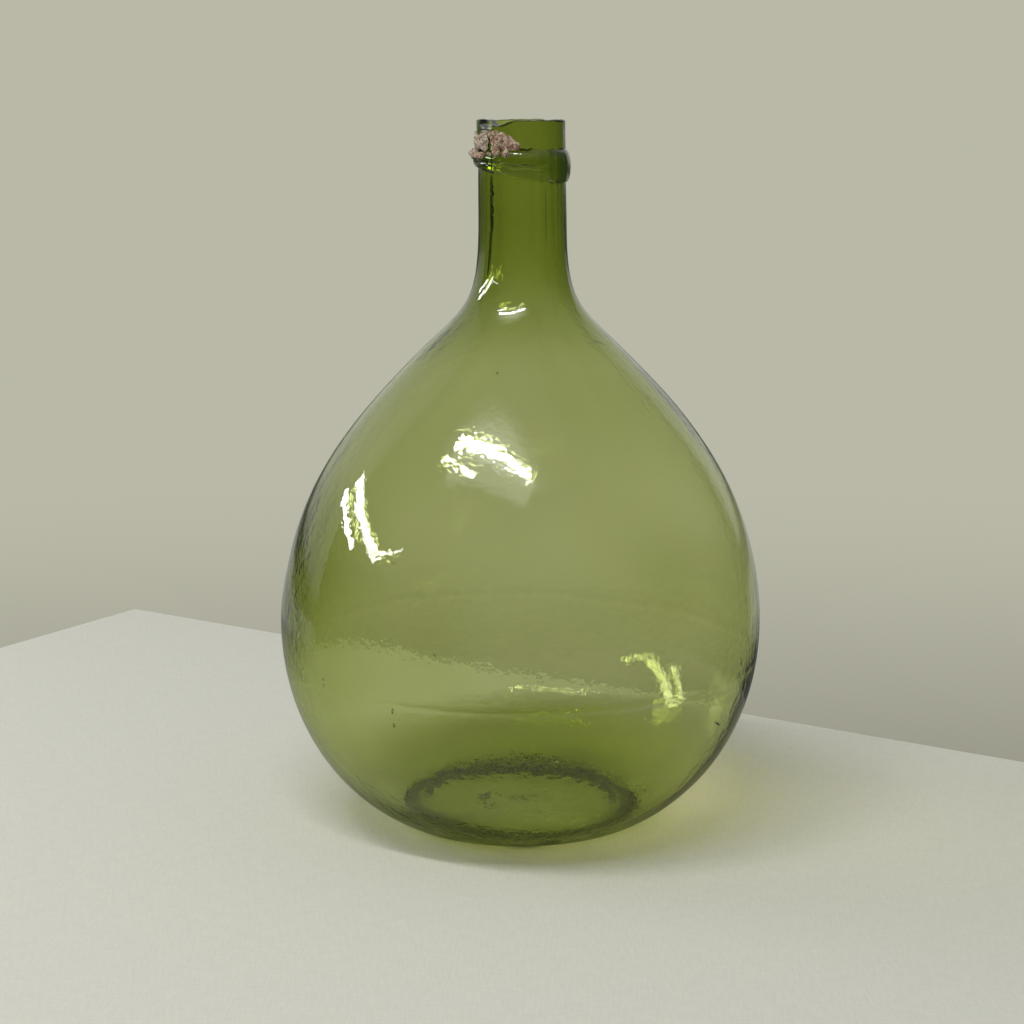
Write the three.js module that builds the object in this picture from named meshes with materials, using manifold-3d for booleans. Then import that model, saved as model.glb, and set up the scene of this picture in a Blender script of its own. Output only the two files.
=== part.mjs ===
// A five-litre demijohn of green blown glass: the vessel, the thread of glass laid round its neck, the scar of the
// rod that once held it by the base, and the crumbs that are left of the seal on its lip.
// Millimetres, +Z up, the origin at the middle of the foot, level with what it stands on. The front is -Y.
import * as THREE from "three";
import { mergeVertices } from "three/addons/utils/BufferGeometryUtils.js";
import Module from "manifold-3d";

const wasm = await Module();
wasm.setup();

// Outside of the vessel
const MOUTH_HEIGHT = 320;
const NECK_LENGTH = 42.8; // from the mouth down to where it starts to widen
const LIP_RADIUS = 19.8;
const LIP_ROUNDING = 0.5; // at the mouth's two edges
const COLLAR_SEAT_RADIUS = 19.5; // the neck where the thread of glass goes round it
const NECK_ROOT_RADIUS = 19.8;
const SHOULDER_DROP = 64.2; // from the neck's root down to where the outline turns from hollow to full
const SHOULDER_RADIUS = 50.2; // there
const SHOULDER_SLOPE = 45.3; // degrees above level, there
const BELLY_RADIUS = 110;
const BELLY_HEIGHT = 92;
const FOOT_RADIUS = 52; // outer edge of the worn flat ring that it stands on
const FOOT_WIDTH = 4;

// How full its curves are: each handle as a share of the rise or run of its stretch, or of its length at the shoulder
const NECK_SWEEP = 0.659;
const HOLLOW_SWEEP = 0.486; // above the shoulder's turn
const FULL_SWEEP = 0.276; // below it
const UPPER_FULLNESS = 0.482;
const LOWER_FULLNESS = 0.659;
const HEEL_SWEEP = 0.236;

// Inside of the vessel
const BORE_RADIUS = 14; // takes a standard cork
const SHOULDER_WALL = 2.1;
const BELLY_WALL = 2;
const LOW_WALL = 3.8; // just above the heel
const LOW_TAPER = [0.3, 0.62]; // where it thins to the belly's, as shares of the way from the foot up to the belly
const HEEL_WALL = 9; // over the foot, where the glass pooled to a level floor
const HEEL_TAPER = 0.45; // the share of the same way in which the heel thins
const KICK_HEIGHT = 2.5; // the flat push-up under the base
const KICK_SIDE = 12; // how wide the slope of its side is

// Seam left by the joint between the mould's base plate and its sides
const SEAM_HEIGHT = 78;
const SEAM_PROUD = 0.2;
const SEAM_WIDTH = 2.4;

// Mouth, cracked off the pipe and left uneven, with a shell-shaped flake gone from its outer edge
const LIP_WAVE = 0.3;
const CHIP_ANGLE = 236; // round the mouth: 0 at +X, 270 at the front
const CHIP_DIP = 2; // how far the edge drops there
const CHIP_SPREAD = 28; // degrees that the drop takes to die away, each way
const FLAKE_ANGLE = 220;
const FLAKE_RADIUS = 7;
const FLAKE_DEPTH = 1.8;
const FLAKE_DROP = 1.4; // its middle, below the mouth

// Thread of glass round the neck, in one turn whose ends lie over each other at the right
const FIT_GAP = 0.3; // between two pieces that lie on each other
const COLLAR_DROP = 13.5; // its upper edge, below the mouth
const COLLAR_PROUD = 2.2;
const COLLAR_TALLEST = 14.5; // at the overlap
const COLLAR_NARROWEST = 8;
const OVERLAP_ANGLE = -10;

// Seal of wax: its thickness, and each piece of it from one angle round the lip to another
const WAX_THICKNESS = 1.3;
const WAX_EDGE_THICKNESS = 0.5;
const WAX_SHOULDERS = [0.3, 0.75]; // where its thick middle starts and ends, as shares of its rise
const WAX_LEFT = { from: 176, to: 223, rise: 7.4, ragged: 0.9 }; // rise above the thread's upper edge
const WAX_RIGHT = { from: 229, to: 267, rise: 5.6, crest: 1.8, end: 3.4 };
const WAX_CRUMB = { from: 190, to: 219, low: 0.6, high: 0.8 }; // turns of the thread's face: 0 lower, 1 upper edge

// Scar left where the rod was cracked off the base
const SCAR_RADIUS = 20;
const SCAR_WIDTH = 4;
const SCAR_THICKNESS = 1.2;
const SCAR_SWEEP = 285; // degrees of the ring that are left
const SCAR_START = 35;

// Facets
const AROUND = 48;
const LOWER_STEPS = 9;
const UPPER_STEPS = 11;
const SHOULDER_STEPS = 8;
const SIDE_STEPS = 4; // of the push-up and of the floor inside

const radians = THREE.MathUtils.degToRad;
const mix = THREE.MathUtils.lerp;
const smooth = THREE.MathUtils.smoothstep;

const MATERIALS = {
  glass: new THREE.MeshStandardMaterial({ color: 0x6f8a2c, roughness: 0.05, metalness: 0 }),
  scar: new THREE.MeshStandardMaterial({ color: 0x5c7423, roughness: 0.3, metalness: 0 }),
  greyWax: new THREE.MeshStandardMaterial({ color: 0xb8a898, roughness: 0.85, metalness: 0 }),
  pinkWax: new THREE.MeshStandardMaterial({ color: 0xa37a6c, roughness: 0.85, metalness: 0 }),
};

// Rings of points and the solids that they make

const polar = (radius, angle, height) => [radius * Math.cos(angle), radius * Math.sin(angle), height];

// A closed surface through a row of rings with the same number of points each. The last ring meets the first when
// it loops, and otherwise a flat fan shuts each end. Rings run anticlockwise about the row's direction.
function solidThrough(rings, loops) {
  const count = rings[0].length;
  const at = (ring, point) => (ring % rings.length) * count + (point % count);
  const last = loops ? rings.length : rings.length - 1;
  const faces = [];
  for (let ring = 0; ring < last; ring++) {
    for (let point = 0; point < count; point++) {
      faces.push(at(ring, point), at(ring, point + 1), at(ring + 1, point + 1));
      faces.push(at(ring, point), at(ring + 1, point + 1), at(ring + 1, point));
    }
  }
  for (let point = 1; !loops && point < count - 1; point++) {
    faces.push(at(0, 0), at(0, point + 1), at(0, point));
    faces.push(at(last, 0), at(last, point), at(last, point + 1));
  }
  const geometry = new THREE.BufferGeometry();
  geometry.setAttribute("position", new THREE.Float32BufferAttribute(rings.flat(2), 3));
  geometry.setIndex(faces);
  return solidOf(geometry);
}

function solidOf(geometry) {
  const bare = new THREE.BufferGeometry();
  bare.setAttribute("position", geometry.getAttribute("position"));
  bare.setIndex(geometry.index);
  const merged = mergeVertices(bare, 1e-4);
  const corners = merged.index.array;
  const kept = [];
  for (let i = 0; i < corners.length; i += 3) {
    const [a, b, c] = corners.slice(i, i + 3);
    if (a !== b && b !== c && c !== a) kept.push(a, b, c);
  }
  return new wasm.Manifold(
    new wasm.Mesh({
      numProp: 3,
      vertProperties: merged.getAttribute("position").array,
      triVerts: new Uint32Array(kept),
    }),
  );
}

function meshOf(name, solid, material) {
  const { vertProperties, triVerts } = solid.getMesh();
  const geometry = new THREE.BufferGeometry();
  geometry.setAttribute("position", new THREE.BufferAttribute(new Float32Array(vertProperties), 3));
  geometry.setIndex(new THREE.BufferAttribute(new Uint32Array(triVerts), 1));
  geometry.computeVertexNormals();
  const mesh = new THREE.Mesh(geometry, material);
  mesh.name = name;
  return mesh;
}

// Outline of the vessel

const at = (radius, height) => new THREE.Vector2(radius, height);
const neckRoot = at(NECK_ROOT_RADIUS, MOUTH_HEIGHT - NECK_LENGTH);
const shoulder = at(SHOULDER_RADIUS, neckRoot.y - SHOULDER_DROP);
const upShoulder = at(-Math.cos(radians(SHOULDER_SLOPE)), Math.sin(radians(SHOULDER_SLOPE)));
const belly = at(BELLY_RADIUS, BELLY_HEIGHT);
const foot = at(FOOT_RADIUS, 0);
const collarTop = MOUTH_HEIGHT - COLLAR_DROP;
const collarSeat = at(COLLAR_SEAT_RADIUS, collarTop - COLLAR_TALLEST / 2);

const LOWER_BELLY = new THREE.CubicBezierCurve(
  foot,
  at(mix(foot.x, belly.x, HEEL_SWEEP), 0),
  at(belly.x, mix(belly.y, 0, LOWER_FULLNESS)),
  belly,
);
const UPPER_BELLY = new THREE.CubicBezierCurve(
  belly,
  at(belly.x, mix(belly.y, shoulder.y, UPPER_FULLNESS)),
  shoulder.clone().addScaledVector(upShoulder, -FULL_SWEEP * shoulder.distanceTo(belly)),
  shoulder,
);
const SHOULDER = new THREE.CubicBezierCurve(
  shoulder,
  shoulder.clone().addScaledVector(upShoulder, HOLLOW_SWEEP * shoulder.distanceTo(neckRoot)),
  at(neckRoot.x, mix(neckRoot.y, shoulder.y, NECK_SWEEP)),
  neckRoot,
);

const lowWall = (t) => mix(LOW_WALL, BELLY_WALL, smooth(t, ...LOW_TAPER));

// Each stretch of the outline from the foot up, with the thickness of its wall from its start (0) to its end (1).
const STRETCHES = [
  { curve: LOWER_BELLY, steps: LOWER_STEPS, wall: (t) => mix(HEEL_WALL, lowWall(t), smooth(t, 0, HEEL_TAPER)) },
  { curve: UPPER_BELLY, steps: UPPER_STEPS, wall: (t) => mix(BELLY_WALL, SHOULDER_WALL, t) },
  { curve: SHOULDER, steps: SHOULDER_STEPS, wall: (t) => mix(SHOULDER_WALL, neckRoot.x - BORE_RADIUS, t) },
];

// A place on a stretch: the outer point, and the point under it on the inner face, square through the wall.
function station(stretch, t, proud = 0) {
  const outer = stretch.curve.getPoint(t);
  const along = stretch.curve.getTangent(t);
  const inwards = at(-along.y, along.x);
  const inner = outer.clone().addScaledVector(inwards, stretch.wall(t));
  return { outer: outer.addScaledVector(inwards, -proud), inner };
}

// Radius of the outside of the neck at a height, from the shoulder to the mouth.
function neckRadius(height) {
  if (height < collarSeat.y) {
    return mix(neckRoot.x, collarSeat.x, (height - neckRoot.y) / (collarSeat.y - neckRoot.y));
  }
  return mix(collarSeat.x, LIP_RADIUS, (height - collarSeat.y) / (MOUTH_HEIGHT - collarSeat.y));
}

function parameterAt(curve, height) {
  let [low, high] = [0, 1];
  for (let halving = 0; halving < 30; halving++) {
    const middle = (low + high) / 2;
    if (curve.getPoint(middle).y < height) low = middle;
    else high = middle;
  }
  return low;
}

// Stations up the body, with three at the seam in place of those that it covers.
function bodyStations() {
  const stations = [];
  for (const stretch of STRETCHES) {
    const first = stretch === STRETCHES[0] ? 0 : 1;
    for (let step = first; step <= stretch.steps; step++) stations.push(station(stretch, step / stretch.steps));
  }
  const clear = stations.filter(({ outer }) => Math.abs(outer.y - SEAM_HEIGHT) > SEAM_WIDTH);
  for (const side of [-1, 0, 1]) {
    const height = SEAM_HEIGHT + (side * SEAM_WIDTH) / 2;
    const stretch = height < belly.y ? STRETCHES[0] : STRETCHES[1];
    clear.push(station(stretch, parameterAt(stretch.curve, height), side === 0 ? SEAM_PROUD : 0));
  }
  return clear.sort((a, b) => a.outer.y - b.outer.y);
}

// How far the mouth's edge lies below its full height.
function edgeDrop(angle) {
  const wave = LIP_WAVE * (1 + 0.6 * Math.sin(3 * angle + 0.6) + 0.4 * Math.sin(5 * angle));
  const away = Math.abs(((THREE.MathUtils.radToDeg(angle) - CHIP_ANGLE + 540) % 360) - 180);
  return wave + CHIP_DIP * (1 - smooth(away, 0, CHIP_SPREAD));
}

// Vessel

// Height of the underside at a radius: flat in the middle, and down to the foot's ring at the side.
const land = FOOT_RADIUS - FOOT_WIDTH;
const kickHeight = (radius) => KICK_HEIGHT * (1 - smooth(radius, land - KICK_SIDE, land));

function vesselProfile() {
  const body = bodyStations();
  const profile = [{ radius: 0, height: KICK_HEIGHT }];
  for (let step = 0; step <= SIDE_STEPS; step++) {
    const radius = land - KICK_SIDE * (1 - step / SIDE_STEPS);
    profile.push({ radius, height: kickHeight(radius) });
  }
  for (const { outer } of body) profile.push({ radius: outer.x, height: outer.y });
  profile.push({ radius: collarSeat.x, height: collarSeat.y });
  profile.push({ radius: neckRadius(collarTop), height: collarTop });
  profile.push({ radius: LIP_RADIUS, height: MOUTH_HEIGHT - LIP_ROUNDING, lip: true });
  profile.push({ radius: LIP_RADIUS - LIP_ROUNDING, height: MOUTH_HEIGHT, lip: true });
  profile.push({ radius: BORE_RADIUS + LIP_ROUNDING, height: MOUTH_HEIGHT, lip: true });
  profile.push({ radius: BORE_RADIUS, height: MOUTH_HEIGHT - LIP_ROUNDING, lip: true });
  for (const { inner } of body.toReversed()) profile.push({ radius: inner.x, height: inner.y });
  profile.push({ radius: 0, height: HEEL_WALL });
  return profile;
}

function flake() {
  const scoop = new THREE.IcosahedronGeometry(FLAKE_RADIUS, 1);
  scoop.deleteAttribute("normal");
  scoop.deleteAttribute("uv");
  const [x, y] = polar(LIP_RADIUS + FLAKE_RADIUS - FLAKE_DEPTH, radians(FLAKE_ANGLE), 0);
  scoop.translate(x, y, MOUTH_HEIGHT - FLAKE_DROP);
  return solidOf(mergeVertices(scoop, 1e-4));
}

function vessel() {
  const rings = vesselProfile().map(({ radius, height, lip }) =>
    Array.from({ length: AROUND }, (_, point) => {
      const angle = (2 * Math.PI * point) / AROUND;
      return polar(radius, angle, height - (lip ? edgeDrop(angle) : 0));
    }),
  );
  return meshOf("bottle_body", solidThrough(rings, false).subtract(flake()), MATERIALS.glass);
}

// Thread of glass round the neck

function collarHeight(angle) {
  const share = (1 + Math.cos(angle - radians(OVERLAP_ANGLE))) / 2;
  return mix(COLLAR_NARROWEST, COLLAR_TALLEST, share);
}

// A point on the thread's outer face, with turn going from its lower edge (0) to its upper edge (1).
function collarFace(angle, turn, proud = 0) {
  const height = collarTop - (collarHeight(angle) * (1 + Math.cos(Math.PI * turn))) / 2;
  const radius = neckRadius(height) + FIT_GAP + COLLAR_PROUD * Math.sin(Math.PI * turn);
  return { radius: radius + proud, height };
}

function collar() {
  const faceSteps = 6;
  const rings = Array.from({ length: AROUND }, (_, point) => {
    const angle = (2 * Math.PI * point) / AROUND;
    const ring = [];
    for (let step = 0; step <= faceSteps; step++) {
      const { radius, height } = collarFace(angle, step / faceSteps);
      ring.push(polar(radius, angle, height));
    }
    const middle = collarTop - collarHeight(angle) / 2;
    ring.push(polar(neckRadius(middle) + FIT_GAP, angle, middle));
    return ring;
  });
  return meshOf("neck_collar", solidThrough(rings.toReversed(), true), MATERIALS.glass);
}

// Seal

// A broken piece of the seal from one angle to another. edge(share) gives its lower and upper limits at a share of
// the way round, and face(angle, limit, proud) a point over the glass at one of them.
function waxPiece(name, { from, to }, edge, face, material) {
  const steps = Math.round((to - from) / (360 / AROUND)) * 2;
  const rings = [];
  for (let step = 0; step <= steps; step++) {
    const share = step / steps;
    const angle = radians(mix(from, to, share));
    const [low, high] = edge(share);
    const thickness = mix(WAX_EDGE_THICKNESS, WAX_THICKNESS, Math.sin(Math.PI * share) ** 0.5);
    const place = (limit, proud) => {
      const { radius, height } = face(angle, limit, proud);
      return polar(radius, angle, height);
    };
    rings.push([
      place(low, FIT_GAP),
      place(low, FIT_GAP + WAX_EDGE_THICKNESS),
      ...WAX_SHOULDERS.map((limit) => place(mix(low, high, limit), FIT_GAP + thickness)),
      place(high, FIT_GAP + WAX_EDGE_THICKNESS),
      place(high, FIT_GAP),
      place(mix(low, high, 0.5), FIT_GAP),
    ]);
  }
  return meshOf(name, solidThrough(rings.toReversed(), false), material);
}

// Over the lip, a limit is a height above the thread's upper edge. Over the thread, it is a turn of its face.
const overLip = (angle, limit, proud) => {
  const height = collarTop + limit;
  return { radius: neckRadius(height) + proud, height };
};
const overCollar = (angle, limit, proud) => collarFace(angle, limit, proud);

function seal() {
  const arch = (share) => Math.sin(Math.PI * share);
  const leftEdge = (share) => [FIT_GAP, WAX_LEFT.rise + WAX_LEFT.ragged * Math.sin(3 * Math.PI * share)];
  const rightEdge = (share) => [
    FIT_GAP,
    mix(WAX_RIGHT.rise, WAX_RIGHT.end, share ** 4) + WAX_RIGHT.crest * arch(share),
  ];
  const crumbEdge = () => [WAX_CRUMB.low, WAX_CRUMB.high];
  return [
    waxPiece("seal_wax_left", WAX_LEFT, leftEdge, overLip, MATERIALS.greyWax),
    waxPiece("seal_wax_right", WAX_RIGHT, rightEdge, overLip, MATERIALS.pinkWax),
    waxPiece("seal_wax_crumb", WAX_CRUMB, crumbEdge, overCollar, MATERIALS.pinkWax),
  ];
}

// Scar under the push-up

function scar() {
  const steps = Math.round(SCAR_SWEEP / (360 / AROUND));
  const rings = [];
  for (let step = 0; step <= steps; step++) {
    const angle = radians(SCAR_START + (SCAR_SWEEP * step) / steps);
    const fading = Math.sin((Math.PI * step) / steps) ** 0.4;
    const width = SCAR_WIDTH * mix(0.5, 1, fading);
    const depth = SCAR_THICKNESS * mix(0.4, 1, fading);
    const top = (radius) => polar(radius, angle, kickHeight(radius) - FIT_GAP);
    const inner = SCAR_RADIUS - width / 2;
    const outer = SCAR_RADIUS + width / 2;
    const hanging = [inner + width / 4, outer - width / 4].map((radius) =>
      polar(radius, angle, kickHeight(radius) - FIT_GAP - depth),
    );
    rings.push([top(inner), hanging[0], hanging[1], top(outer)]);
  }
  return meshOf("pontil_scar", solidThrough(rings.toReversed(), false), MATERIALS.scar);
}

const demijohn = new THREE.Group();
demijohn.name = "demijohn";
demijohn.add(vessel(), collar(), ...seal(), scar());

export default demijohn;
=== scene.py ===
# A five-litre demijohn of green blown glass, standing on a plain pale floor.
# Lengths are in millimetres, and MM turns them into Blender's metres. +Z is up, -Y is the front.
# Angles round the vessel are in degrees from +X, anticlockwise from above, so the front is at -90.
# A pair of limits says where a change starts and where it is complete.
import math

import bpy
from mathutils import Matrix, Vector, noise

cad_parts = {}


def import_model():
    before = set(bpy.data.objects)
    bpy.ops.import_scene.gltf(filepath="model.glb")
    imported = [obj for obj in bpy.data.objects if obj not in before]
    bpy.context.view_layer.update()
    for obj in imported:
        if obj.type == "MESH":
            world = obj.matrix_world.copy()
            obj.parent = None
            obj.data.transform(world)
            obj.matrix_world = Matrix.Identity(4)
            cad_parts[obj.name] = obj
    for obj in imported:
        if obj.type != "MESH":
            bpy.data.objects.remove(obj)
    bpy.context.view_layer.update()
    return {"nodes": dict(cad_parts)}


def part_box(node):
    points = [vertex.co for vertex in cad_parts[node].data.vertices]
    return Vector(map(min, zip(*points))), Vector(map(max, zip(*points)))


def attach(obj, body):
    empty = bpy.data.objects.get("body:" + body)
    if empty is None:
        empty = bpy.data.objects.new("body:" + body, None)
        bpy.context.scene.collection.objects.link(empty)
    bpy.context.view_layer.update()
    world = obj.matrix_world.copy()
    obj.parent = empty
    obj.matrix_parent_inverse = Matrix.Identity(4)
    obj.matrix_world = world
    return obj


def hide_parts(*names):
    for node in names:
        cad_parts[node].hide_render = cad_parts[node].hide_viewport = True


MM = 0.001
UP = Vector((0, 0, 1))

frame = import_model()

# Camera, as the photograph was taken
CAMERA_PLACE = (-4.4, -971.0, 332.6)
CAMERA_DOWN = 11.1  # degrees below level
CAMERA_LENS = 75.6
CAMERA_SENSOR = 36
CAMERA_NEAREST = 50

bpy.ops.object.select_all(action="DESELECT")
bpy.ops.object.camera_add(
    location=[c * MM for c in CAMERA_PLACE],
    rotation=(math.radians(90 - CAMERA_DOWN), 0, 0),
)
camera = bpy.context.object
camera.data.lens = CAMERA_LENS
camera.data.sensor_width = CAMERA_SENSOR
camera.data.clip_start = CAMERA_NEAREST * MM
bpy.context.scene.camera = camera
bpy.context.scene.view_settings.view_transform = "Standard"

# Outside of the vessel, its reach and height from the frame
_, vessel_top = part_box("bottle_body")
BELLY_RADIUS = vessel_top.x / MM
MOUTH_HEIGHT = vessel_top.z / MM
BELLY_HEIGHT = 92
SHOULDER_RADIUS = 50.2  # where the outline turns from full to hollow
SHOULDER_SLOPE = 45.3  # degrees above level, there
NECK_ROOT_RADIUS = 19.8
NECK_ROOT_HEIGHT = MOUTH_HEIGHT - 42.8
SHOULDER_HEIGHT = NECK_ROOT_HEIGHT - 64.2
COLLAR_SEAT_RADIUS = 19.5
COLLAR_SEAT_HEIGHT = 299
LIP_RADIUS = 19.8
LIP_ROUNDING = 0.5
FOOT_RADIUS = 52
FOOT_WIDTH = 4
KICK_HEIGHT = 1.2  # how far the base is pushed up
KICK_SIDE = 8  # how wide the slope of the push-up's side is

# How far the outline's handles reach, as shares of the way to the stretch's other end
LOWER_FULLNESS = 0.659
HEEL_SWEEP = 0.236
UPPER_FULLNESS = 0.482
FULL_SWEEP = 0.276  # below the shoulder's turn
HOLLOW_SWEEP = 0.486  # above it
NECK_SWEEP = 0.659

# Inside of the vessel. The shares are of the way from the foot up to the belly.
BORE_RADIUS = 14
HEEL_WALL = 4.7  # over the foot, and over the whole of the level floor inside
HEEL_TAPER = 0.10  # the share over which it thins to the low wall
LOW_WALL = 2.2  # just above the heel
LOW_TAPER = (0.30, 0.62)  # the shares between which it thins to the belly's
BELLY_WALL = 2.0
SHOULDER_WALL = 2.1

# Facets round the vessel
AROUND = 168

# Thread of glass round the neck
COLLAR_TOP = MOUTH_HEIGHT - 13.5
COLLAR_TALLEST = 14.5
COLLAR_NARROWEST = 8
COLLAR_PROUD = 2.3
COLLAR_UNEVEN = 0.2  # how much more or less proud it is in places, as a share
COLLAR_WAVER = 0.4
COLLAR_WANDER = (2, 4.2)  # the circle on which the noise for these is read: its radius and height
ELSEWHERE = 9  # far enough off in the noise for another value
OVERLAP_ANGLE = -10
THREAD_FOOT = 288  # just below the thread
FACET_ANGLE = -93  # where a tool pressed the thread flat
FACET_SPREAD = 32
FACET_LEVEL = 0.88  # how proud it is there, as a share
CREASE = (0.42, 0.14, 0.5)  # a groove along its front: height and width as shares of its own, and depth
CREASE_ENDS = (-165, -48)
CREASE_TAPER = 20
CREASE_WAVER = (1.7, 0.1)  # how much more often than the thread it wavers, and how far, as a share
TICK_ANGLE = -70  # a nick in the thread's upper part
TICK_FROM = 0.55  # the share of the thread's height above which it lies
TICK_SPREAD = 1.8
TICK_DEPTH = 0.5

# Edge of the mouth, snapped off uneven, with one larger chip
NECK_SHAPED_FROM = 285
NECK_FACE_RADIUS = 18  # the neck's outer face lies past this radius
LIP_WAVE = 0.3
LIP_WAVES = ((3, 0.6, 0.6), (5, 0.4, 0))  # how many go round, share of the height, and shift
LIP_ROUGH = (5, 1.7, 0.25)  # radius and height of the circle on which its noise is read, and how high it is
LIP_REACH = (9, 1)  # how far below the mouth the unevenness starts and is complete
CHIP_ANGLE = 236
CHIP_DIP = 2.2
CHIP_SPREAD = 26
FLAKE_ANGLE = 218
FLAKE_RADIUS = 7
FLAKE_DEPTH = 1.8
FLAKE_DROP = 1.4
FLAKE_RIPPLE = (5, 0.1)  # the ripples that such a break leaves: how close they lie, and height
FLAKE_ROUGH = (1.5, 0.25)  # wavelength and height
FLAKE_FINE = (309, 17, 25)  # where the mesh is finer for it: height and radius from there on, and spread

# Waves that the blowing left in the glass:
# wavelength, height, the share of the height in the neck, and where the noise is read
OUTER_WAVE = (38, 0.16, 0.5, (0, 0, 0))
INNER_WAVE = (55, 0.5, 0.4, (3.1, 7.7, 1.9))
NECK_CALM = 30  # how far below the neck's root they start to get lower
FOOT_CALM = (1, 25)  # the heights between which the outer ones set in, over the foot
STREAK = (22, 150, 0.12, 4)  # inner streaks: width, height, thickness, and how many times that in the neck
STREAK_RISE = 20  # how far below the neck's root they start to get thicker
FOLD = (8, 0.4)  # small folds where the base was pushed up
FOLD_RISE = (40, 50)  # the radii between which they start
FOLD_FALL = (58, 68)  # and between which they end
FOLD_TOP = (10, 24)  # and the heights

# Uneven thickness
THICKER_LEFT = 1.9  # how much thicker the left wall is
THINNER_RIGHT = 0.4  # and how much thinner the right one
SIDE_RISE = (58, 92)  # the heights between which that starts
SIDE_FALL = (120, 168)  # and between which it ends
SIDE_FOCUS = 4  # how closely it keeps to the sides, as a power
BACK_HEEL = 4.5  # how much thicker the heel is at the back
BACK_FROM = (44, 58)  # the radii between which that starts
BACK_TOP = (12, 33)  # and the heights between which it ends
BACK_FOCUS = 1.5  # how closely it keeps to the back, as a power

# How far the leaning vessel's middle lies to the right at each height, and how much fuller it is low down
LEAN = ((0, -0.55), (95, -0.55), (125, 0), (200, 0.43), (270, 0.36), (300, 0), (320, -0.44))
LOW_FULLER = 0.55
FULLER_RISE = (2, 30)
FULLER_FALL = (95, 125)

# Seams of the mould
SEAM_HEIGHT = 78
SEAM_ANGLE = -35
SEAM_WIDTH = 1.5
SEAM_PROUD = 0.06
SEAM_NEAR = 0.1  # a vertex as near as this lies on the seam

# Broken ring that the rod left under the base
SCAR_RADIUS = 19
SCAR_WIDTH = 5
SCAR_PROUD = 0.8
SCAR_UNEVEN = (0.8, 0.6)  # how much of that it is on average, and how far it varies
SCAR_FAINT = 0.08  # how proud the rest of the ring is, as a share
SCAR_FROM = 150
SCAR_TO = 215
SCAR_FADE = 14  # degrees over which an end fades
SCAR_RAGGED = 6  # the wavelength of its raggedness
SCAR_END_WANDER = 10
SCAR_RING_WANDER = 2
SCAR_REGION = (10, 28)  # the radii between which it lies
SCAR_CEILING = KICK_HEIGHT + 1

# Seeds and strings in the glass: angle and height of each, its length, and its slant from upright in degrees
SEEDS = (
    (-102, 214, 0.7, 0),
    (-27, 200, 0.8, 20),
    (-33, 223, 2.6, 65),
    (-21, 222, 0.6, 0),
    (-104, 153, 0.6, 0),
    (-122, 138, 0.6, 30),
    (-109, 102, 0.7, 0),
    (-142, 80.5, 0.8, 0),
    (-141.6, 79, 0.7, 0),
    (-152, 79, 2.6, 35),
    (-154, 81, 2.2, 50),
    (-151.5, 76, 1.8, 10),
    (-120.5, 73, 1.4, -10),
    (-120, 68, 1.2, -10),
    (-5, 192, 2.6, -30),
    (-24, 112, 1.3, 20),
    (-20.8, 110, 1.5, -20),
    (-20, 99, 2.6, 5),
    (-24, 91, 1.8, 0),
    (-27, 84, 2.8, 30),
    (-29, 79, 2.8, 35),
    (-23, 82, 2.4, 20),
    (-29, 68, 1.2, 40),
    (-35, 58, 3.2, 60),
)
SEED_WIDEST = 0.45  # half the width of a long one
SEED_ROUND = 0.6  # half the width of a short one, as a share of its length

# Air lines in the neck, the same of each and half its width
AIR_LINES = ((-137.5, 285, 14, 0, 0.2), (-57.3, 278, 13, 0, 0.16))

BUBBLE_DEPTH = 0.9  # how deep seeds and air lines lie in the wall
BUBBLE_FLAT = 0.4  # half their thickness
BUBBLE_HEIGHTS = (50, 287)  # the heights between which they lie
ARC_LENGTH = 90  # of a radian, where the vertex nearest to one is looked for
BLISTER_PLACE = (0.7, -56.6, 3.4)  # a flat bubble in the front of the heel
BLISTER_SIZE = (6, 0.9, 1.5)

# Painted shade: a streak of nearly black glass that darkens a line in the neck: angle and height of each end,
# and how deep it lies in the wall
SHADE_LINE_ENDS = ((-135, 296), (-139.5, 251))
SHADE_LINE_DEPTH = 1.3
SHADE_LINE_RADIUS = 0.8
SHADE_LINE_FLAT = 0.5  # its thickness into the wall, as a share of its width
SHADE_LINE_TIP = 0.01  # how thick it still is at its ends, as the square of a share
SHADE_LINE_FULLNESS = 4  # how long it keeps its thickness, as a power
SHADE_LINE_HEIGHTS = (240, 300)  # the outer face is looked for between these heights
SHADE_LINE_NEAR = 12  # and this near to it, in degrees

# Remains of the seal: voxel size, roughness as wavelengths and heights, and lumps as angle, height and radius
CRUST_GRAIN = 0.3
CRUST_ROUGH = ((3.4, 0.8), (1.1, 0.45), (0.5, 0.2))
LUMP_ON_THREAD = 2  # how far off the neck the middle of a lump lies, beside the thread
LUMP_ABOVE = 0.4  # and above it
LEFT_LUMPS = (
    (178, 305.2, 1.7), (188, 304.6, 1.8), (198, 305.4, 1.6), (205, 312.4, 1.3), (215, 307.5, 1.5),
    (195, 309.6, 1.4), (213, 314.0, 1.3), (221, 314.2, 1.1), (219, 310.5, 1.4), (190, 313.4, 0.9),
)
RIGHT_LUMPS = (
    (227, 313.6, 1.2), (235, 313.9, 1.3), (245, 313.4, 1.1), (255, 311.0, 1.3), (262, 308.6, 1.3),
    (239, 306.0, 1.6), (250, 305.6, 1.5), (231, 307.5, 1.3), (228, 305.0, 1.1), (243, 309.5, 1.4),
)
CRUMB_LUMPS = ((204, 304.6, 1.3), (211, 303.8, 1.4), (217, 304.8, 1.0))


# Numbers and directions


def mix(a, b, share):
    return a + (b - a) * share


def smooth(low, high, value):
    """A share that grows smoothly from 0 to 1 between two limits."""
    share = min(1, max(0, (value - low) / (high - low)))
    return share * share * (3 - 2 * share)


def fade(low, high, value):
    return 1 - smooth(low, high, value)


def within(value, rise, fall):
    """A share that grows between the limits of rise, and fades between those of fall."""
    return smooth(*rise, value) * fade(*fall, value)


def apart(a, b):
    """How many degrees lie between two angles."""
    return abs((a - b + 180) % 360 - 180)


def angle_of(place):
    return math.degrees(math.atan2(place.y, place.x))


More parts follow.
